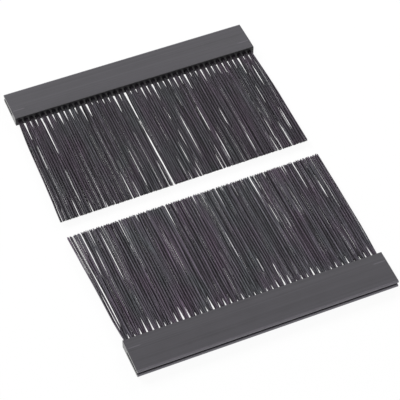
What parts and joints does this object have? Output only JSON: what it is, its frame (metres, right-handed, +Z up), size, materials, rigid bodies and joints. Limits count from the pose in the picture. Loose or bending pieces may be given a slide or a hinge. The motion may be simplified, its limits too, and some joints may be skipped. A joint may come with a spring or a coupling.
{
  "type": "rack brush strip panel",
  "caption": "Two push-on brush strips that face each other and close a rack cable opening while cables pass between their bristle tips.",
  "frame": {"origin": "middle of the cable gap, on the plane that the holders lie on", "axes": "+X along the strips, +Y across the opening from the near strip to the far strip, +Z up out of the plane of the bristles"},
  "size_m": [0.2192, 0.3074, 0.0086],
  "materials": {
    "holder": "dark grey moulded PVC, semi-matt, with pale sawn ends",
    "bristle": "dark grey drawn nylon filament, slight sheen",
    "anchor": "plain flat wire"
  },
  "bodies": {
    "root": {"near_holder": "holder", "far_holder": "holder", "near_tuft_anchors": "anchor", "far_tuft_anchors": "anchor", "near_tufts_1": "bristle", "near_tufts_2": "bristle", "near_tufts_3": "bristle", "near_tufts_4": "bristle", "near_tufts_5": "bristle", "near_tufts_6": "bristle", "near_tufts_7": "bristle", "near_tufts_8": "bristle", "near_tufts_9": "bristle", "near_tufts_10": "bristle", "near_tufts_11": "bristle", "near_tufts_12": "bristle", "near_tufts_13": "bristle", "near_tufts_14": "bristle", "near_tufts_15": "bristle", "near_tufts_16": "bristle", "near_tufts_17": "bristle", "near_tufts_18": "bristle", "near_tufts_19": "bristle", "near_tufts_20": "bristle", "near_tufts_21": "bristle", "far_tufts_1": "bristle", "far_tufts_2": "bristle", "far_tufts_3": "bristle", "far_tufts_4": "bristle", "far_tufts_5": "bristle", "far_tufts_6": "bristle", "far_tufts_7": "bristle", "far_tufts_8": "bristle", "far_tufts_9": "bristle", "far_tufts_10": "bristle", "far_tufts_11": "bristle", "far_tufts_12": "bristle", "far_tufts_13": "bristle", "far_tufts_14": "bristle", "far_tufts_15": "bristle", "far_tufts_16": "bristle", "far_tufts_17": "bristle", "far_tufts_18": "bristle", "far_tufts_19": "bristle", "far_tufts_20": "bristle", "far_tufts_21": "bristle"}
  },
  "joints": []
}
